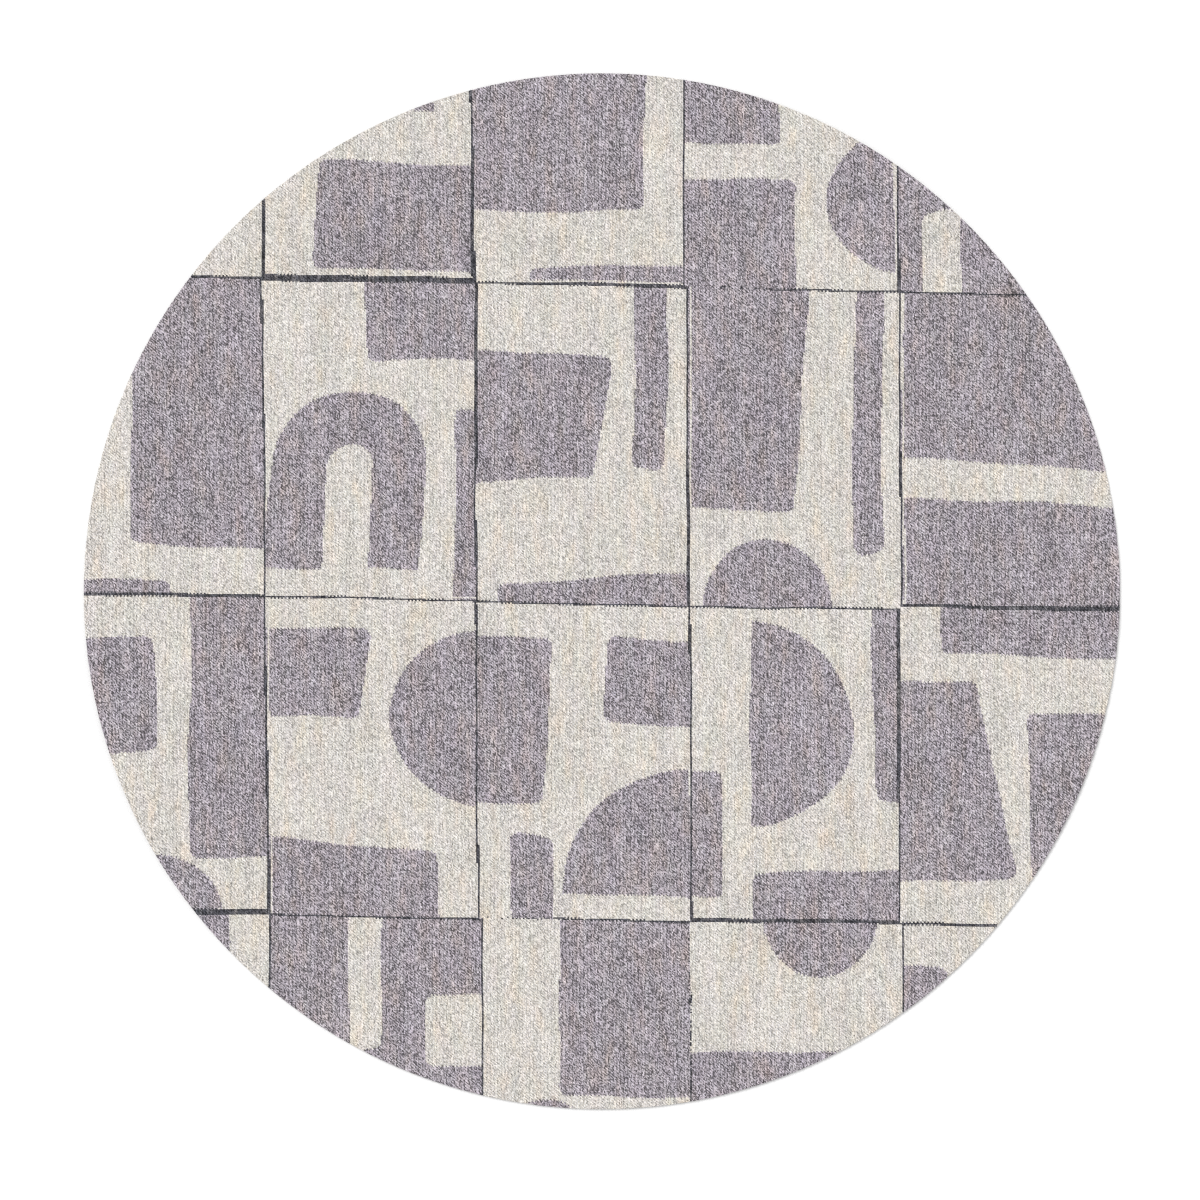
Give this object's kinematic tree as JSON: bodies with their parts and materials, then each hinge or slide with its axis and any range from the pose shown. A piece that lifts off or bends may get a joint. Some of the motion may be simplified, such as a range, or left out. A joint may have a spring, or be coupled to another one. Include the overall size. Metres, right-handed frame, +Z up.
{
  "type": "area rug",
  "caption": "Round flat-woven rug with an abstract tiled pattern, felt-backed, its edge finished underneath with a sewn tape.",
  "frame": {"origin": "centre of the underside, on the surface that the rug lies on", "axes": "+Z up out of the patterned face, +Y towards the top of the pattern along the yarn columns, +X across them to the right"},
  "size_m": [1.4998, 1.4998, 0.0053],
  "materials": {
    "chenille_weave": "soft chenille jacquard in cream, mauve-grey and charcoal yarns",
    "latex": "thin matte coat",
    "felt": "needled, matte, slightly tacky underside",
    "cotton_tape": "herringbone bias tape",
    "hem_thread": "two-ply sewing thread",
    "label_ribbon": "blank satin-woven ribbon"
  },
  "bodies": {
    "root": {"face_cloth": "chenille_weave", "bond_coat": "latex", "backing_felt": "felt", "hem_tape": "cotton_tape", "outer_hem_stitches": "hem_thread", "inner_hem_stitches": "hem_thread", "lap_stitches": "hem_thread", "sewn_label": "label_ribbon", "label_stitches": "hem_thread"}
  },
  "joints": []
}
